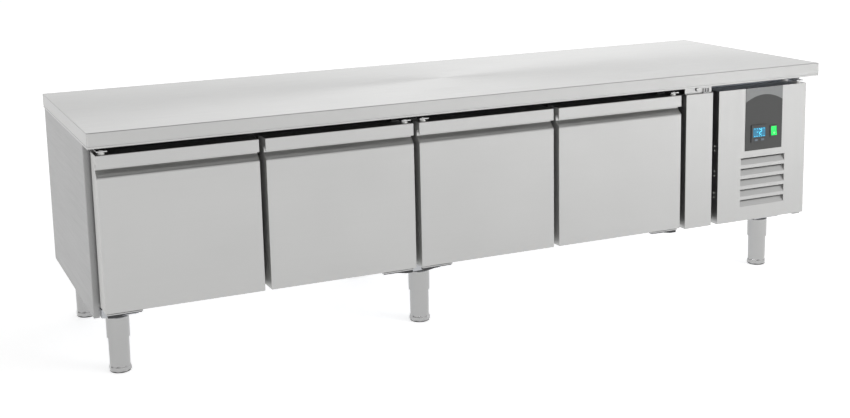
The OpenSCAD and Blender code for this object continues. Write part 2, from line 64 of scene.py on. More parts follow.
# ---------------------------------------------------------------- materials
class Nodes:
    """A material's node tree, with short calls to add and link nodes."""

    def __init__(self, name):
        self.mat = bpy.data.materials.new(name)
        self.mat.use_nodes = True
        self.tree = self.mat.node_tree
        self.bsdf = self.tree.nodes["Principled BSDF"]

    def add(self, kind, **settings):
        node = self.tree.nodes.new(kind)
        for key, value in settings.items():
            if key in node.inputs:
                node.inputs[key].default_value = value
            else:
                setattr(node, key, value)
        return node

    def link(self, a, output, b, value):
        self.tree.links.new(a.outputs[output], b.inputs[value])

    def coords(self, scale):
        place = self.add("ShaderNodeTexCoord")
        size = self.add("ShaderNodeMapping")
        size.inputs["Scale"].default_value = scale
        self.link(place, "Object", size, "Vector")
        return size

    def noise(self, scale, detail=4.0, stretch=(1, 1, 1), roughness=0.5):
        grain = self.add("ShaderNodeTexNoise", Scale=scale, Detail=detail, Roughness=roughness)
        self.link(self.coords(stretch), "Vector", grain, "Vector")
        return grain

    def ramp_to(self, source, output, target, low, high):
        """Sends a 0 to 1 texture to a number socket, between two values."""
        span = self.add("ShaderNodeMapRange")
        span.inputs["From Min"].default_value = 0.3
        span.inputs["From Max"].default_value = 0.7
        span.inputs["To Min"].default_value = low
        span.inputs["To Max"].default_value = high
        self.link(source, output, span, "Value")
        self.link(span, "Result", self.bsdf, target)

    def colours(self, source, output, dark, light, spread=(0.3, 0.7)):
        """Sends a 0 to 1 texture to the base colour, between two colours."""
        ramp = self.add("ShaderNodeValToRGB")
        ramp.color_ramp.elements[0].position = spread[0]
        ramp.color_ramp.elements[1].position = spread[1]
        ramp.color_ramp.elements[0].color = (*dark, 1)
        ramp.color_ramp.elements[1].color = (*light, 1)
        self.link(source, output, ramp, "Fac")
        self.link(ramp, "Color", self.bsdf, "Base Color")

    def bump(self, source, output, strength, distance):
        bump = self.add("ShaderNodeBump", Strength=strength, Distance=distance)
        self.link(source, output, bump, "Height")
        self.link(bump, "Normal", self.bsdf, "Normal")

    def set(self, **values):
        for key, value in values.items():
            self.bsdf.inputs[key.replace("_", " ")].default_value = value
        return self


def brushed_steel(name, tone, rough, grain):
    """Satin steel: long fine scratches along the grain, and wide faint smudges."""
    n = Nodes(name).set(Metallic=1.0, Anisotropic=0.35)
    scratches = n.noise(1.0, 3.0, grain, 0.6)
    smudges = n.noise(2.6, 2.0)
    n.colours(smudges, "Fac", [c * 0.955 for c in tone], tone)
    n.ramp_to(scratches, "Fac", "Roughness", rough - 0.05, rough + 0.05)
    n.bump(scratches, "Fac", 0.06, 0.0002)
    return n.mat


def plain(name, tone, rough, metallic=0.0, bump=0.12, scale=900.0, vary=0.9, coat=0.0):
    """A moulded or painted surface with a fine grain and a slight mottle."""
    n = Nodes(name).set(Metallic=metallic, Coat_Weight=coat)
    grain = n.noise(scale, 2.0)
    mottle = n.noise(14.0, 3.0)
    n.colours(mottle, "Fac", [c * vary for c in tone], tone)
    n.ramp_to(mottle, "Fac", "Roughness", rough - 0.04, rough + 0.04)
    n.bump(grain, "Fac", bump, 0.0002)
    return n.mat


def glowing(name, tone, glow, strength):
    """A lit plastic or display element whose light is a little uneven."""
    n = Nodes(name).set(Roughness=0.25, Emission_Strength=strength)
    mottle = n.noise(160.0, 2.0)
    n.colours(mottle, "Fac", [c * 0.85 for c in tone], tone)
    ramp = n.add("ShaderNodeValToRGB")
    ramp.color_ramp.elements[0].color = (*[c * 0.8 for c in glow], 1)
    ramp.color_ramp.elements[1].color = (*glow, 1)
    n.link(mottle, "Fac", ramp, "Fac")
    n.link(ramp, "Color", n.bsdf, "Emission Color")
    return n.mat


ALONG_X = (6, 700, 700)
ALONG_Z = (700, 700, 6)
ALONG_Y = (700, 6, 700)
STEEL = (0.49, 0.49, 0.485)
M = {
    # painted light: the worktop's up-facing faces get a lighter copy of the front steel
    "top": brushed_steel("worktop_lit_top_steel", (0.58, 0.58, 0.585), 0.36, ALONG_X),
    "front": brushed_steel("front_steel", STEEL, 0.34, ALONG_X),
    "upright": brushed_steel("upright_steel", STEEL, 0.34, ALONG_Z),
    # painted shade: a darker copy of the front steel for the side sheets, which face away from the
    # light
    "side": brushed_steel("side_sheet_shaded_steel", (0.335, 0.335, 0.335), 0.36, ALONG_Y),
    # painted light: a lighter copy of the door steel for the up-facing slope of the grip recess
    "lit_slope": brushed_steel("grip_slope_lit_steel", (0.56, 0.56, 0.55), 0.5, ALONG_X),
    # painted light: the door's steel top face is a light non-metal grey so it reads lit under the
    # worktop's overhang
    "cap": plain("door_top_lit_grey", (0.86, 0.86, 0.85), 0.5, bump=0.03),
    # painted light: a lighter, rougher copy of the door steel for the doors' end faces, so they read
    # lit in the gaps
    "edge": brushed_steel("door_end_lit_steel", (0.62, 0.62, 0.61), 0.55, ALONG_Z),
    "inner": brushed_steel("inner_steel", (0.55, 0.55, 0.55), 0.42, ALONG_X),
    # painted shade: the leg steel is toned darker than the other steel, standing in for the dark
    # reflections the tubes would pick up
    "leg": brushed_steel("leg_darkened_steel", (0.42, 0.42, 0.418), 0.20, ALONG_Z),
    "hinge": brushed_steel("hinge_steel", (0.50, 0.50, 0.50), 0.30, ALONG_X),
    "wire": plain("bright_wire", (0.72, 0.72, 0.72), 0.22, metallic=1.0, bump=0.03),
    "liner": plain("door_liner", (0.60, 0.61, 0.61), 0.38, bump=0.05),
    "rubber": plain("gasket_rubber", (0.055, 0.055, 0.058), 0.62, bump=0.15),
    "foam": plain("foam", (0.80, 0.72, 0.42), 0.9, bump=0.8, scale=420.0, vary=0.8),
    # painted shade: the board is near black, partly as a dark film-faced board and partly so the
    # frame beside it mirrors dark, standing in for the shade in the band above the doors
    "board": plain("board", (0.022, 0.018, 0.016), 0.6, bump=0.3, scale=180.0, vary=0.6),
    "fins": plain("aluminium_fins", (0.78, 0.79, 0.80), 0.35, metallic=1.0, bump=0.1),
    "copper": plain("copper", (0.72, 0.34, 0.20), 0.32, metallic=1.0, bump=0.06),
    "black": plain("black_plastic", (0.018, 0.018, 0.02), 0.38, bump=0.1),
    "enamel": plain("black_enamel", (0.012, 0.012, 0.013), 0.25, bump=0.04, coat=0.4),
    "galvanised": plain("galvanised", (0.50, 0.51, 0.53), 0.45, metallic=1.0, bump=0.2, scale=90.0),
    "plate_light": plain("plate_light", (0.19, 0.195, 0.195), 0.42, bump=0.04),
    "plate_dark": plain("plate_dark", (0.0394, 0.0401, 0.0394), 0.42, bump=0.04),
    "grey": plain("grey_plastic", (0.30, 0.31, 0.32), 0.5, bump=0.1),
    "rail": plain("rail_paint", (0.42, 0.45, 0.50), 0.35, bump=0.05),
    "bezel": plain("bezel_plastic", (0.040, 0.041, 0.042), 0.45, bump=0.06),
    # painted shade: near-black foam behind the louvres, partly a real dust mat and partly standing
    # in for the shade inside the openings
    "filter": plain("filter_foam", (0.010, 0.010, 0.011), 0.95, bump=0.9, scale=500.0),
    "white": plain("white_nylon", (0.80, 0.80, 0.78), 0.4, bump=0.05),
    "key": plain("key_plastic", (0.10, 0.13, 0.16), 0.35, bump=0.05),
        "digits": glowing("lit_digits", (0.1, 0.5, 0.8), (0.06, 0.72, 1.0), 1.5),
    "backlight": glowing("display_backlight", (0.01, 0.09, 0.16), (0.01, 0.14, 0.24), 0.8),
    "green": glowing("green_rocker", (0.01, 0.55, 0.08), (0.0, 0.9, 0.12), 0.55),
    "mark": plain("white_marks", (0.75, 0.77, 0.78), 0.5, bump=0.02),
}


def make(name, verts, faces, material, body, replaces=(), bevel=0.0, smooth=35.0):
    """A piece from vertices and faces, with smooth shading away from its edges."""
    mesh = bpy.data.meshes.new(name)
    mesh.from_pydata([tuple(v) for v in verts], [], faces)
    mesh.validate()
    mesh.shade_smooth()
    mesh.set_sharp_from_angle(angle=math.radians(smooth))
    piece = bpy.data.objects.new(name, mesh)
    bpy.context.scene.collection.objects.link(piece)
    mesh.materials.append(M[material])
    fix = piece.modifiers.new("weld", "WELD")
    fix.merge_threshold = 1e-6
    if bevel:
        add_bevel(piece, bevel)
    even = piece.modifiers.new("flat_faces", "WEIGHTED_NORMAL")
    even.keep_sharp = True
    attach(piece, body)
    if replaces:
        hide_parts(*replaces)
    return piece


def add_bevel(piece, width, angle=32.0, segments=3):
    """Rounds a piece's sharp edges."""
    round_off = piece.modifiers.new("bevel", "BEVEL")
    round_off.width = width
    round_off.segments = segments
    round_off.limit_method = "ANGLE"
    round_off.angle_limit = math.radians(angle)
    round_off.harden_normals = True


def loft(rings, close=False, cap=True):
    """Faces that join rings of equal length; close joins the last ring to the first."""
    count = len(rings[0])
    verts = [v for ring in rings for v in ring]
    faces = []
    last = len(rings) if close else len(rings) - 1
    for r in range(last):
        a, b = r * count, (r + 1) % len(rings) * count
        for k in range(count):
            m = (k + 1) % count
            faces.append((a + k, a + m, b + m, b + k))
    if cap and not close:
        faces.append(tuple(range(count))[::-1])
        faces.append(tuple((len(rings) - 1) * count + k for k in range(count)))
    return verts, faces


def arc(cx, cy, r, a0, a1, steps):
    """Points on an arc, in degrees, both ends included."""
    angles = [math.radians(a0 + (a1 - a0) * k / steps) for k in range(steps + 1)]
    return [(cx + r * math.cos(a), cy + r * math.sin(a)) for a in angles]


def round_rect(x0, y0, x1, y1, r, steps=5):
    """The outline of a rectangle with round corners."""
    return (
        arc(x1 - r, y0 + r, r, -90, 0, steps)
        + arc(x1 - r, y1 - r, r, 0, 90, steps)
        + arc(x0 + r, y1 - r, r, 90, 180, steps)
        + arc(x0 + r, y0 + r, r, 180, 270, steps)
    )


def filleted(points, radii, steps=6):
    """A closed outline with its corners rounded."""
    out = []
    count = len(points)
    for k, radius in enumerate(radii):
        here = Vector(points[k])
        back = (Vector(points[k - 1]) - here).normalized()
        ahead = (Vector(points[(k + 1) % count]) - here).normalized()
        if radius <= 0:
            out.append(tuple(here))
            continue
        half = back.angle(ahead) / 2
        centre = here + (back + ahead).normalized() * radius / math.sin(half)
        start = here + back * radius / math.tan(half) - centre
        end = here + ahead * radius / math.tan(half) - centre
        first = math.atan2(start.y, start.x)
        sweep = (math.atan2(end.y, end.x) - first + math.pi) % (2 * math.pi) - math.pi
        for s in range(steps + 1):
            turn = first + sweep * s / steps
            out.append((centre.x + radius * math.cos(turn), centre.y + radius * math.sin(turn)))
    return out


def inset(outline, depth):
    """A closed outline moved inward by a small depth."""
    pts = [Vector(p) for p in outline]
    area = sum(pts[k - 1].x * pts[k].y - pts[k].x * pts[k - 1].y for k in range(len(pts)))
    side = 1 if area > 0 else -1
    out = []
    for k, here in enumerate(pts):
        run = pts[(k + 1) % len(pts)] - pts[k - 1]
        normal = Vector((-run.y, run.x)).normalized() * side
        out.append(tuple(here + normal * depth))
    return out


def pillow(outline, a, b, radius, place, steps=3):
    """A solid with a given outline from a to b, whose end edges are rounded."""
    rings = []
    for k in range(steps + 1):
        turn = math.radians(90 * k / steps)
        ring = inset(outline, radius * (1 - math.sin(turn)))
        rings.append([place(u, v, a + radius * (1 - math.cos(turn))) for u, v in ring])
    for k in range(steps + 1):
        turn = math.radians(90 * k / steps)
        ring = inset(outline, radius * (1 - math.cos(turn)))
        rings.append([place(u, v, b - radius * (1 - math.sin(turn))) for u, v in ring])
    return loft(rings)


def along_x(u, v, w):
    return (w, u, v)


def along_y(u, v, w):
    return (u, w, v)


def turned(name, profile, at, axis, material, body, replaces=(), segments=48, smooth=35.0):
    """A lathed piece: profile is radius and height along the axis, closed at both ends."""
    turn = Vector((0, 0, 1)).rotation_difference(Vector(axis)).to_matrix()
    rings = []
    for r, h in profile:
        ring = []
        for k in range(segments):
            a = 2 * math.pi * k / segments
            ring.append(Vector(at) + turn @ Vector((r * math.cos(a), r * math.sin(a), h)))
        rings.append(ring)
    verts, faces = loft(rings)
    return make(name, verts, faces, material, body, replaces, smooth=smooth)


def joined(name, parts, material, body, replaces=(), bevel=0.0):
    """One piece from several lists of vertices and faces."""
    verts, faces = [], []
    for part_verts, part_faces in parts:
        start = len(verts)
        verts += list(part_verts)
        faces += [tuple(start + k for k in f) for f in part_faces]
    return make(name, verts, faces, material, body, replaces, bevel=bevel)


def block(lo, hi):
    """The vertices and faces of a plain block, for pieces that get a bevel."""
    outline = [(lo[0], lo[1]), (hi[0], lo[1]), (hi[0], hi[1]), (lo[0], hi[1])]
    return loft([[(u, v, z) for u, v in outline] for z in (lo[2], hi[2])])


def screw(name, at, axis, radius, body, material="hinge"):
    """A pan-head screw with a dark cross slot."""
    profile = [(0.0, 0.0)] + [(radius, 0.0)]
    profile += arc(radius * 0.6, radius * 0.18, radius * 0.4, 0, 90, 4)
    turned(name, profile + [(0.0, radius * 0.62)], at, axis, material, body, segments=24)
    turn = Vector((0, 0, 1)).rotation_difference(Vector(axis)).to_matrix()
    slots = []
    for long_side, short_side in ((0.5, 0.1), (0.1, 0.5)):
        verts, faces = block(
            (-radius * long_side, -radius * short_side, radius * 0.5),
            (radius * long_side, radius * short_side, radius * 0.66),
        )
        slots.append(([Vector(at) + turn @ Vector(v) for v in verts], faces))
    joined(name + "_slot", slots, "black", body)


# ---------------------------------------------------------------- worktop
def worktop():
    """Folded sheet with a soft top edge, round corners and an inward return below."""
    lo, hi = WORKTOP_LO, WORKTOP_HI
    soft, corner, lip = 2.2 * MM, 4 * MM, 12 * MM

    def ring(depth, z):
        r = max(corner - depth, 0.6 * MM)
        outline = round_rect(lo.x + depth, lo.y + depth, hi.x - depth, hi.y - depth, r)
        return [(u, v, z) for u, v in outline]

    rings = [ring(soft * (1 - s), hi.z - soft * (1 - c)) for c, s in turn_steps(5)]
    fold = ((0, 7.0), (0.9, 6.6), (0.9, 5.4), (0, 5.0))
    rings += [ring(d * MM, lo.z + h * MM) for d, h in fold]
    rings += [ring(soft * 0.6 * (1 - c), lo.z + soft * 0.6 * (1 - s)) for c, s in turn_steps(4)]
    rings += [ring(lip, lo.z), ring(lip, lo.z + SHEET), ring(SHEET, lo.z + SHEET)]
    rings += [ring(SHEET, hi.z - SHEET)]
    verts, faces = loft(rings)
    sheet = make("worktop_sheet", verts, faces, "top", "cabinet", ["worktop"])
    sheet.data.materials.append(M["front"])
    # Faces that point up take the lighter steel: painted light on the top of the one folded sheet.
    for face in sheet.data.polygons:
        face.material_index = int(face.normal.z < 0.5)


def turn_steps(steps):
    """Cosine and sine over a quarter turn, from 0 to 90 degrees."""
    angles = [math.pi / 2 * k / steps for k in range(steps + 1)]
    return [(math.cos(a), math.sin(a)) for a in angles]


# ---------------------------------------------------------------- side panels
def side_panel(node, side):
    """A side sheet with its front stile, bent in one piece."""
    lo, hi = BOX[node]
    outer = lo.x if side < 0 else hi.x
    stile = hi.x if side < 0 else lo.x
    t = SHEET * -side
    notch = outer - 15 * MM * side
    notch_z = BOX["base_panel"][0].z + MM
    rings = []
    for z, edge in ((lo.z, notch), (notch_z, notch), (notch_z, stile), (hi.z, stile)):
        corners = [
            (outer, hi.y), (outer, lo.y), (edge, lo.y),
            (edge, lo.y + SHEET), (outer + t, lo.y + SHEET), (outer + t, hi.y),
        ]
        outline = filleted(corners, [0, 2.0 * MM, 0, 0, 0.8 * MM, 0])
        rings.append([(u, v, z) for u, v in outline])
    verts, faces = loft(rings)
    # The side sheet takes the darker side steel: painted shade.
    make(node + "_sheet", verts, faces, "side", "cabinet", [node])


# ---------------------------------------------------------------- doors
GRIP_NOSE = 34 * MM
NOSE_THICK = 6 * MM
NOSE_SPACE = 10 * MM
GRIP_DEPTH = 18 * MM
GRIP_HEIGHT = 57 * MM
RECESS_RISE = 17 * MM


def door_profile(lo, hi):
    """A door's outline from its end: nose, the recess turned up behind it and flat front."""
    front, back = lo.y, hi.y
    points = [
        (back, lo.z), (front, lo.z), (front, hi.z - GRIP_HEIGHT),
        (front + GRIP_DEPTH, hi.z - GRIP_HEIGHT + RECESS_RISE),
        (front + GRIP_DEPTH, hi.z - GRIP_NOSE + NOSE_SPACE),
        (front + NOSE_THICK, hi.z - GRIP_NOSE + NOSE_SPACE),
        (front + NOSE_THICK, hi.z - GRIP_NOSE),
        (front, hi.z - GRIP_NOSE), (front, hi.z), (back, hi.z),
    ]
    radii = [r * MM for r in (1.5, 2.0, 7.0, 3.0, 2.0, 2.0, 1.6, 1.6, 2.0, 1.5)]
    return filleted(points, radii)


def door(i):
    body = f"door_{i}"
    lo, hi = BOX[f"door_{i}_shell"]
    outline = door_profile(lo, hi)
    verts, faces = pillow(outline, lo.x, hi.x, 1.4 * MM, along_x)
    skin = make(f"{body}_skin", verts, faces, "front", body, [f"door_{i}_shell"])
    for tone in ("edge", "lit_slope", "cap"):
        skin.data.materials.append(M[tone])
    painted_end, painted_slope, painted_top = 1, 2, 3
    recess_top = hi.z - GRIP_HEIGHT + RECESS_RISE + 2 * MM
    for face in skin.data.polygons:
        # End faces take the lighter end steel: painted light.
        if abs(face.normal.x) > 0.85:
            face.material_index = painted_end
        # The up-facing recess slope takes the lighter slope steel: painted light.
        elif face.normal.z > 0.3 and face.center.z < recess_top:
            face.material_index = painted_slope
        # The top face takes the light grey: painted light.
        elif face.normal.z > 0.9:
            face.material_index = painted_top
    door_liner(i, body)
    door_gasket(i, body)
    hinge_bushes(body, lo, hi)


def door_liner(i, body):
    """The pressed inner liner: a flat rim and a raised middle with soft corners."""
    lo, hi = BOX[f"door_{i}_core"]
    back = DOOR_BACK
    rim = 36 * MM
    rise = hi.y - back
    rings = []
    for depth, y in ((0, 0.1 * MM), (0, 0.9 * MM), (rim, 0.9 * MM), (rim + 2 * MM, 1.6 * MM),
                     (rim + 9 * MM, rise - 1.6 * MM), (rim + 11 * MM, rise - 0.3 * MM),
                     (rim + 13 * MM, rise), (rim + 40 * MM, rise), (rim + 43 * MM, rise - 0.9 * MM),
                     (rim + 46 * MM, rise - 1.2 * MM)):
        r = 3 * MM + min(depth, rim + 13 * MM) * 0.25
        outline = round_rect(lo.x + depth, lo.z + depth, hi.x - depth, hi.z - depth, r)
        rings.append([(u, back + y, v) for u, v in outline])
    verts, faces = loft(rings)
    make(f"{body}_liner", verts, faces, "liner", body, [f"door_{i}_core"], smooth=50)


def door_gasket(i, body):
    """A bellows gasket: two soft folds under a flat magnet strip."""
    lo, hi = BOX[f"door_{i}_gasket"]
    width, depth = 20 * MM, hi.y - lo.y
    section = [
        (0.30, 0.0), (0.10, 0.08), (0.16, 0.22), (0.30, 0.30), (0.16, 0.40), (0.02, 0.52),
        (0.10, 0.66), (0.06, 0.78), (0.0, 0.86), (0.04, 0.97), (0.12, 1.0), (0.62, 1.0),
        (0.72, 0.96), (0.74, 0.84), (0.70, 0.72), (0.78, 0.60), (0.96, 0.48), (0.84, 0.36),
        (0.92, 0.22), (1.0, 0.10), (0.88, 0.0),
    ]
    rings = []
    for u, v in section:
        d = u * width
        outline = round_rect(lo.x + d, lo.z + d, hi.x - d, hi.z - d, 5 * MM, 4)
        rings.append([(a, lo.y + v * depth, b) for a, b in outline])
    verts, faces = loft(rings, close=True)
    make(f"{body}_bellows", verts, faces, "rubber", body, [f"door_{i}_gasket"], smooth=60)


def hinge_bushes(body, lo, hi):
    """White nylon bushes round the pins, at the top and the bottom of a panel."""
    joint = f"{body}_hinge"
    x, y = pin_of(joint)
    for place, z, up in (("top", hi.z, 1), ("bottom", lo.z, -1)):
        height = 5.0 if up > 0 else 2.6
        profile = [(4.15, -0.2), (8.5, -0.2), (8.5, 0.8), (7.9, 1.3), (6.6, height - 0.5),
                   (6.1, height), (4.15, height)]
        profile = [(r * MM, h * MM) for r, h in profile]
        rings = [
            [(x + r * math.cos(a), y + r * math.sin(a), z + up * h)
             for a in (2 * math.pi * k / 32 for k in range(32))]
            for r, h in profile
        ]
        verts, faces = loft(rings, close=True)
        make(f"{body}_bush_{place}", verts, faces, "white", body)


# ---------------------------------------------------------------- fixed panel and service panel
def fixed_panel():
    """The narrow fixed panel with softly folded edges."""
    lo, hi = BOX["fixed_panel"]
    top = BOX["service_panel"][1].z
    verts, faces = pillow(
        filleted([(hi.y, lo.z), (lo.y, lo.z), (lo.y, top), (hi.y, top)],
                 [0.6 * MM, 1.6 * MM, 1.6 * MM, 0.6 * MM]),
        lo.x, hi.x, 1.3 * MM, along_x)
    make("fixed_panel_sheet", verts, faces, "upright", "cabinet", ["fixed_panel"])


def panel_details():
    """The rail over the machine bay, a black dust mat behind the louvres that is also painted shade
    in their openings, the fixed panel's flange, and small plugs in the gap.
    """
    lo, hi = BOX["service_panel"]
    frame_hi = BOX["front_frame"][1]
    joined("machine_rail",
           [block((BOX["fixed_panel"][1].x, FRONT_Y - 0.6 * MM, hi.z - 3 * MM),
                  (frame_hi.x, FRONT_Y, frame_hi.z)),
            block((BOX["fixed_panel"][1].x + 2 * MM, lo.y + 8 * MM, frame_hi.z - 1.6 * MM),
                  (hi.x + 8 * MM, FRONT_Y - 0.6 * MM, frame_hi.z - 0.6 * MM))],
           "rail", "cabinet", bevel=0.2 * MM)
    # The black mat behind the louvres is a dust mat and painted shade in the louvre openings.
    joined("air_filter",
           [block((lo.x + 79 * MM, lo.y + 13.5 * MM, hi.z - 382 * MM),
                  (lo.x + 253 * MM, lo.y + 19 * MM, hi.z - 208 * MM))],
           "filter", "service_panel", bevel=1.0 * MM)
    fp_lo, fp_hi = BOX["fixed_panel"]
    joined("fixed_panel_flange",
           [block((fp_lo.x, fp_lo.y + 9 * MM, hi.z), (fp_hi.x, fp_lo.y + 10.2 * MM, frame_hi.z))],
           "upright", "cabinet", bevel=0.3 * MM)
    at = (fp_lo.x + 42 * MM, fp_lo.y + 9 * MM, hi.z + 12 * MM)
    turned("flange_washer", scaled([(0, 0), (6, 0), (6, 0.8), (5.4, 1.2), (0, 1.2)]), at,
           (0, -1, 0), "black", "cabinet", segments=32)
    turned("flange_bolt", scaled([(0, 1.2), (4.2, 1.2), (4.5, 1.5), (4.5, 3.4), (4, 4), (0, 4)]),
           at, (0, -1, 0), "hinge", "cabinet", segments=6, smooth=20)
    x, y, z = fp_lo.x + 64 * MM, fp_lo.y + 4 * MM, hi.z
    ears = [block((x + dx * MM, y, z), (x + (dx + 2.5) * MM, y + 4.6 * MM, z + 13 * MM))
            for dx in (0, 9, 18)]
    joined("flange_stop",
           ears + [block((x - 2 * MM, y, z), (x + 23 * MM, y + 4.6 * MM, z + 2.5 * MM))],
           "hinge", "cabinet", bevel=0.4 * MM)
    for n, height in enumerate((408, 422, 331, 345, 264, 278)):
        turned(f"gap_plug_{n}", scaled([(0, 0), (2.6, 0), (2.6, 0.5), (1.8, 1.2), (0, 1.4)]),
               (lo.x, lo.y + 18 * MM, height * MM), (-1, 0, 0), "white", "service_panel",
               segments=20)


def scaled(points):
    """Millimetre pairs in metres."""
    return [(a * MM, b * MM) for a, b in points]


def control_plate():
    """The trim plate in two tones, which meet along an arch."""
    lo, hi = BOX["control_plate"]
    mid = (lo.x + hi.x) / 2
    half = (hi.x - lo.x) / 2
    spring, rise = hi.z - 42 * MM, 20 * MM
    steps = 28
    arch = []
    for k in range(steps + 1):
        t = -1 + 2 * k / steps
        arch.append((mid + t * half, spring + rise * (1 - t * t)))
    dark = [(lo.x, lo.z), (hi.x, lo.z)] + arch[::-1]
    light = [(hi.x, hi.z), (lo.x, hi.z)] + arch
    for name, outline, tone in (("dark", dark, "plate_dark"), ("light", light, "plate_light")):
        rings = [[(u, y, v) for u, v in outline] for y in (hi.y, lo.y)]
        verts, faces = loft(rings)
        make(f"control_plate_{name}", verts, faces, tone, "service_panel",
             ["control_plate"] if name == "dark" else ())


SEGMENTS = {"a": (0, 2, 1), "b": (1, 1, 0), "c": (1, 0, 0), "d": (0, 0, 1), "e": (0, 0, 0),
            "f": (0, 1, 0), "g": (0, 1, 1)}


def digit(name, x, z, w, h, lit, y):
    """A seven-segment digit whose lower left corner is at x, z."""
    thick, gap = 1.5 * MM, 0.5 * MM
    parts = []
    for key in lit:
        col, row, flat = SEGMENTS[key]
        x0, z0 = x + col * w, z + row * h / 2
        length = (w if flat else h / 2) - 2 * gap
        outline = [(0, 0), (thick / 2, thick / 2), (length - thick / 2, thick / 2), (length, 0),
                   (length - thick / 2, -thick / 2), (thick / 2, -thick / 2)]
        if flat:
            pts = [(x0 + gap + u, z0 + v) for u, v in outline]
        else:
            pts = [(x0 - v, z0 + gap + u) for u, v in outline]
        parts.append(loft([[(u, yy, v) for u, v in pts] for yy in (y, y - 0.14 * MM)]))
    joined(name, parts, "digits", "service_panel")


def display():
    """The lit display behind its window: a digit, a dot and two rows of small marks."""
    lo, hi = BOX["thermostat"]
    mid_x, mid_z = (lo.x + hi.x) / 2, (lo.z + hi.z) / 2
    front = lo.y
    glass_y = front + 0.15 * MM
    x0, x1 = mid_x - 22.8 * MM, mid_x + 22.8 * MM
    z0, z1 = mid_z - 10.8 * MM, mid_z + 17.8 * MM
    outline = round_rect(x0, z0, x1, z1, 1.0 * MM, 3)
    verts, faces = pillow(outline, glass_y, glass_y + 0.5 * MM, 0.1 * MM, along_y, 2)
    make("display_window", verts, faces, "backlight", "service_panel")
    digit("display_digit", mid_x + 1 * MM, z0 + 8 * MM, 8 * MM, 15 * MM, "abged", glass_y)
    dash = block((mid_x - 9 * MM, glass_y - 0.14 * MM, z0 + 15 * MM),
                 (mid_x - 4 * MM, glass_y, z0 + 16.3 * MM))
    marks = [dash]
    for k in range(5):
        x = x0 + (4.5 + 8.6 * k) * MM
        for z in (z0 + 2.2 * MM, z1 - 3.4 * MM):
            marks.append(block((x, glass_y - 0.14 * MM, z), (x + 3.4 * MM, glass_y, z + 1.2 * MM)))
    joined("display_marks", marks, "digits", "service_panel")


def rocker_marks():
    """A ring on the rocker, the mark for off."""
    lo, hi = BOX["power_rocker"]
    mid = (lo.x + hi.x) / 2
    z = lo.z + 7 * MM
    front = lo.y + 0.75 * MM
    rings = []
    for r, y in ((2.6, 0.0), (2.6, -0.2), (1.8, -0.2), (1.8, 0.0)):
        rings.append([(mid + r * MM * math.cos(a), front + y * MM, z + r * MM * math.sin(a))
                      for a in (2 * math.pi * k / 24 for k in range(24))])
    verts, faces = loft(rings, close=True)
    make("rocker_ring", verts, faces, "mark", "power_rocker")


# ---------------------------------------------------------------- legs
def ring_of(x, y, r, z, steps=64):
    return [(x + r * math.cos(a), y + r * math.sin(a), z)
            for a in (2 * math.pi * s / steps for s in range(steps))]


def hat(x, y, low, top):
    """A square sheet bracket, open above, with a round hole for the sleeve below."""
    half, wall, hole = 48 * MM, 2 * MM, 28 * MM

    def ring(reach, z):
        turns = [2 * math.pi * s / 64 for s in range(64)]
        return [(x + reach(a) * math.cos(a), y + reach(a) * math.sin(a), z) for a in turns]

    def square(depth, z):
        corner = half * math.sqrt(2) - 2.5 * MM - depth
        return ring(lambda a: min((half - depth) / max(abs(math.cos(a)), abs(math.sin(a))),
                                  corner), z)

    def bore(z):
        return ring(lambda a: hole, z)

    return loft([square(wall, top), square(wall, low + wall), bore(low + wall), bore(low),
                 square(1.2 * MM, low), square(0.35 * MM, low + 0.35 * MM),
                 square(0, low + 1.2 * MM), square(0, top)], close=True)


def leg(k):
    """One leg: a bracket, a dark neck whose black is partly a plastic collar and partly painted
    shade in the gap under the cabinet, a polished tube with rolled ends, and a foot.
    """
    lo, hi = BOX[f"foot_{k}"]
    x, y = (lo.x + hi.x) / 2, (lo.y + hi.y) / 2
    tube_lo, tube_hi = BOX["legs"][0].z, 150 * MM
    bracket_lo, top = tube_hi + 10 * MM, BOX["legs"][1].z
    make(f"leg_bracket_{k}", *hat(x, y, bracket_lo, top), "galvanised", "cabinet",
         ["legs"] if k == 1 else ())
    tube = [(28.4, 56), (28.4, 1.2), (28.9, 0.3), (29.4, 0), (30.0, 0.5), (30.2, 1.6),
            (30.0, 3.2), (30.0, 55.6), (29.6, 57.2), (28.6, 58), (28.2, 57.6)]
    rings = [ring_of(x, y, r * MM, tube_lo + h * MM) for r, h in tube]
    verts, faces = loft(rings, close=True)
    # The tube takes the darkened leg steel: painted shade.
    make(f"leg_tube_{k}", verts, faces, "leg", "cabinet", smooth=50)
    # The black neck is partly a plastic collar and partly painted shade in the gap between the tube
    # and the cabinet.
    neck = [(27.3, 12), (27.3, -4), (28.2, -4), (28.2, 1.0), (27.8, 2.0), (27.8, 12)]
    rings = [ring_of(x, y, r * MM, tube_hi + h * MM) for r, h in neck]
    verts, faces = loft(rings, close=True)
    make(f"leg_shade_collar_{k}", verts, faces, "black", "cabinet")
    for n, (sx, sy) in enumerate(((-1, -1), (1, -1), (1, 1), (-1, 1))):
        screw(f"leg_screw_{k}_{n}", (x + sx * 0.039, y + sy * 0.039, bracket_lo), (0, 0, -1),
              4 * MM, "cabinet")
    foot(k, x, y)


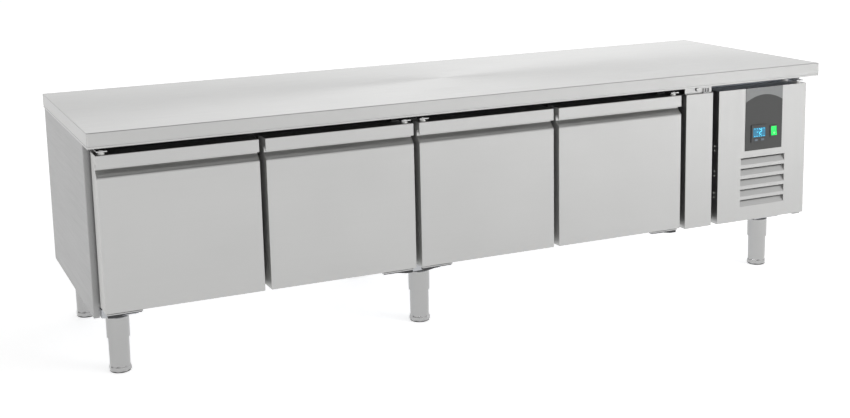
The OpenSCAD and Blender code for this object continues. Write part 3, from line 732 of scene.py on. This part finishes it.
def foot(k, x, y):
    """The sleeve narrows slightly, then flares into an eight-sided foot on a dark pad."""
    rings = []
    for r, h, flat in ((0, 140, 0), (26.4, 140, 0), (27.0, 138.5, 0), (27.0, 60, 0), (26.6, 24, 0),
                       (26.4, 20, 0.2), (26.6, 17, 0.8), (27.4, 14.5, 1), (28.2, 12, 1),
                       (28.2, 4.2, 1), (27.6, 3.0, 1), (0, 3.0, 1)):
        ring = []
        for s in range(64):
            a = 2 * math.pi * s / 64
            near = (a + math.pi / 8) % (math.pi / 4) - math.pi / 8
            eight = math.cos(math.pi / 8) ** 0.5 / math.cos(near)
            rr = r * (1 + flat * (eight - 1))
            ring.append((x + rr * MM * math.cos(a), y + rr * MM * math.sin(a), h * MM))
        rings.append(ring)
    verts, faces = loft(rings)
    make(f"foot_sleeve_{k}", verts, faces, "leg", f"foot_{k}", [f"foot_{k}"], smooth=24)
    pad = scaled([(0, 0), (25.6, 0), (26.8, 0.6), (27.2, 1.6), (27.2, 3.0), (0, 3.0)])
    turned(f"foot_pad_{k}", pad, (x, y, 0), (0, 0, 1), "black", f"foot_{k}")


def partition_facings():
    """Thin sheets over the partition's foam, on its machine side and beside the last bay."""
    lo, hi = BOX["foam_partition"]
    thick = 0.6 * MM
    behind_frame, jamb_back = FRONT_Y + 2.4 * MM, FRONT_Y + 51 * MM
    joined("partition_facing",
           [block((hi.x, behind_frame, lo.z), (hi.x + thick, hi.y, hi.z))],
           "galvanised", "cabinet")
    joined("chamber_jamb_facing",
           [block((lo.x - thick, behind_frame, lo.z + 1 * MM), (lo.x, jamb_back, hi.z - 1 * MM))],
           "inner", "cabinet")


# ---------------------------------------------------------------- hinges, screws and the back
def bottom_hinges():
    """Bottom hinge plates, each with a leaf on the frame and a dark closing-spring housing."""
    for i in DOORS:
        lo, hi = BOX[f"door_{i}_shell"]
        x, y = pin_of(f"door_{i}_hinge")
        side = 1 if x < (lo.x + hi.x) / 2 else -1
        z = lo.z - 3 * MM
        ends = sorted((x - side * 13 * MM, x + side * 77 * MM))
        plate = block((ends[0], y - 11 * MM, z - 3 * MM), (ends[1], FRONT_Y, z))
        leaf = block((ends[0], FRONT_Y - 1.4 * MM, z), (ends[1], FRONT_Y, z + 11 * MM))
        joined(f"hinge_plate_{i}", [plate, leaf], "hinge", "cabinet",
               ["hinge_brackets_bottom"] if i == 1 else (), bevel=0.5 * MM)
        outline = [(-11, 0), (-11, -8), (8, -8), (34, -3.5), (75, -3), (75, 0)]
        radii = [0.4, 2.0, 3.0, 6.0, 0.6, 0.4]
        rounded = filleted(scaled(outline), [r * MM for r in radii], 4)
        arm = [(x + side * u, z - 3 * MM + v) for u, v in rounded]
        verts, faces = pillow(arm, y - 8 * MM, y + 6 * MM, 0.6 * MM, along_y, 2)
        make(f"spring_arm_{i}", verts, faces, "black", "cabinet")
    lo = BOX["service_panel"][0]
    x, y = pin_of("service_panel_hinge")
    z = lo.z - 3 * MM
    end = BOX["service_panel"][1].x - 5 * MM
    plate = block((x - 13 * MM, y - 11 * MM, z - 3 * MM), (end, FRONT_Y, z))
    leaf = block((x - 13 * MM, FRONT_Y - 1.4 * MM, z), (end, FRONT_Y, z + 11 * MM))
    joined("hinge_plate_service", [plate, leaf], "hinge", "cabinet", bevel=0.5 * MM)


def hinge_screws():
    for i in DOORS:
        x, _ = pin_of(f"door_{i}_hinge")
        top = BOX[f"door_{i}_shell"][1].z
        turned(f"pin_head_{i}", scaled([(0, 0), (6.5, 0), (6.5, 0.8), (5, 2.2), (0, 2.6)]),
               (x, pin_of(f"door_{i}_hinge")[1], top + 9 * MM), (0, 0, 1), "wire", "cabinet",
               segments=24)


def back_screws():
    lo, hi = BOX["rear_grille"]
    for n, (x, z) in enumerate((x, z) for x in (lo.x + 0.02, hi.x - 0.02)
                               for z in (lo.z + 0.03, (lo.z + hi.z) / 2, hi.z - 0.03)):
        screw(f"grille_screw_{n}", (x, hi.y, z), (0, 1, 0), 3.6 * MM, "cabinet")


# ---------------------------------------------------------------- CAD nodes that stay as they are
LOOKS = {
    "inner": ["liner", "mullions", "evaporator_cover", "evaporator_tray"],
    "galvanised": ["base_panel", "back_panel", "rear_grille", "machine_base", "shelf_racks"],
    "foam": ["foam_floor", "foam_top", "foam_back", "foam_left", "foam_partition"],
    # painted shade: the near-black board stands in for the shade above the doors
    "board": ["worktop_board"],
    "wire": ["shelves"],
    "fins": ["evaporator_coil", "condenser_coil"],
    # front_frame is black partly as a plastic thermal-break profile and partly as painted shade in
    # the gaps round the doors
    "black": ["front_frame", "condenser_fan", "evaporator_fan",
              "cable_gland"],
    "bezel": ["thermostat", "switch_frame"],
    "enamel": ["compressor", "condenser_shroud", "condenser_motor", "evaporator_motor"],
    "copper": ["refrigerant_lines"],
    "grey": ["electrical_box"],
    "hinge": ["hinge_brackets_top"],
    "upright": ["service_panel"],
    "green": ["power_rocker"],
    "key": ["key_left", "key_right"],
}
SOFT_EDGES = {"service_panel": 0.9, "power_rocker": 0.8, "switch_frame": 0.5, "thermostat": 0.6,
              "key_left": 0.5, "key_right": 0.5, "hinge_brackets_top": 0.4,
              "electrical_box": 1.5}


def finish_cad_nodes():
    for look, names in LOOKS.items():
        for name in names:
            node = frame["nodes"][name]
            node.data.materials.clear()
            node.data.materials.append(M[look])
            if name in SOFT_EDGES:
                weld = node.modifiers.new("weld", "WELD")
                weld.merge_threshold = 1e-5
                add_bevel(node, SOFT_EDGES[name] * MM, angle=40)


# ---------------------------------------------------------------- stage, lights and camera
# The sky's brightness straight up, and toward each side
WORLD_TOP, WORLD_LEFT, WORLD_RIGHT = 0.16, 0.50, 1.0
FLOOR_REACH, FLOOR_GLOW = 60.0, 0.62


def stage():
    """A wide white floor, and a sky that is darker overhead and to the left."""
    floor = bpy.data.meshes.new("floor")
    size = FLOOR_REACH
    floor.from_pydata([(-size, -size, 0), (size, -size, 0), (size, size, 0), (-size, size, 0)],
                      [], [(0, 1, 2, 3)])
    piece = bpy.data.objects.new("floor", floor)
    bpy.context.scene.collection.objects.link(piece)
    n = Nodes("floor_paint").set(Roughness=0.9, Specular_IOR_Level=0.1, Emission_Strength=FLOOR_GLOW)
    n.bsdf.inputs["Emission Color"].default_value = (1, 1, 1, 1)
    n.colours(n.noise(0.6, 2.0), "Fac", (0.80, 0.80, 0.80), (0.82, 0.82, 0.82))
    floor.materials.append(n.mat)
    world = bpy.data.worlds.new("studio")
    bpy.context.scene.world = world
    world.use_nodes = True
    tree = world.node_tree
    place = tree.nodes.new("ShaderNodeTexCoord")
    parts = tree.nodes.new("ShaderNodeSeparateXYZ")
    tree.links.new(place.outputs["Generated"], parts.inputs["Vector"])
    height = span(tree, parts.outputs["Z"], (0.6, 0.95), (1.0, WORLD_TOP))
    across = span(tree, parts.outputs["X"], (-0.7, 0.8), (WORLD_LEFT, WORLD_RIGHT))
    level = tree.nodes.new("ShaderNodeMath")
    level.operation = "MULTIPLY"
    tree.links.new(height, level.inputs[0])
    tree.links.new(across, level.inputs[1])
    sky = tree.nodes["Background"]
    sky.inputs["Color"].default_value = (1, 1, 1, 1)
    tree.links.new(level.outputs[0], sky.inputs["Strength"])


def span(tree, source, read, give):
    """A value from a world direction, mapped smoothly from one range to another."""
    node = tree.nodes.new("ShaderNodeMapRange")
    node.interpolation_type = "SMOOTHSTEP"
    node.inputs["From Min"].default_value, node.inputs["From Max"].default_value = read
    node.inputs["To Min"].default_value, node.inputs["To Max"].default_value = give
    tree.links.new(source, node.inputs["Value"])
    return node.outputs["Result"]


def softbox(name, at, target, size, brightness, mirrored=True):
    """A rectangular light of a given size and surface brightness, aimed at a target."""
    data = bpy.data.lights.new(name, "AREA")
    data.shape = "RECTANGLE"
    data.size, data.size_y = size
    data.energy = brightness * math.pi * size[0] * size[1]
    lamp = bpy.data.objects.new(name, data)
    bpy.context.scene.collection.objects.link(lamp)
    lamp.location = at
    lamp.rotation_euler = (Vector(target) - Vector(at)).to_track_quat("-Z", "Y").to_euler()
    lamp.visible_camera = False
    lamp.visible_glossy = mirrored


def camera():
    """Front left and above, looking down a little, with a small upward shift of the frame."""
    yaw, pitch, roll = math.radians(23.54), math.radians(10.23), math.radians(-1.354)
    ahead = Vector((math.sin(yaw) * math.cos(pitch), math.cos(yaw) * math.cos(pitch),
                    -math.sin(pitch)))
    right = Vector((math.cos(yaw), -math.sin(yaw), 0))
    up = right.cross(ahead)
    tilted_right = right * math.cos(roll) + up * math.sin(roll)
    tilted_up = up * math.cos(roll) - right * math.sin(roll)
    turn = Matrix((tilted_right, tilted_up, -ahead)).transposed()
    data = bpy.data.cameras.new("camera")
    data.sensor_width = 36
    data.lens = 55.42
    data.shift_x = 0.0182
    data.shift_y = -0.11
    eye = bpy.data.objects.new("camera", data)
    bpy.context.scene.collection.objects.link(eye)
    eye.matrix_world = Matrix.Translation((-1.636, -3.499, 1.2345)) @ turn.to_4x4()
    bpy.context.scene.camera = eye


worktop()
side_panel("side_panel_left", -1)
side_panel("side_panel_right", 1)
for number in DOORS:
    door(number)
fixed_panel()
control_plate()
display()
rocker_marks()
for number in range(1, 7):
    leg(number)
panel_details()
partition_facings()
hinge_bushes("service_panel", *BOX["service_panel"])
bottom_hinges()
hinge_screws()
back_screws()
finish_cad_nodes()
stage()
softbox("key", (3.8, -4.2, 1.4), (0.9, 0, 0.4), (3.2, 2.2), 6.0, mirrored=False)
softbox("behind", (1.0, 5.2, 1.9), (0, 0, 0.65), (10.4, 2.4), 0.5)
softbox("top", (0, 0.6, 4.4), (0, 0, 0.6), (4.0, 2.4), 0.3)
softbox("strip", (-3.4, -3.0, 0.9), (-1.0, -0.3, 0.2), (0.22, 1.7), 9.0)
camera()
bpy.context.scene.view_settings.view_transform = "Standard"
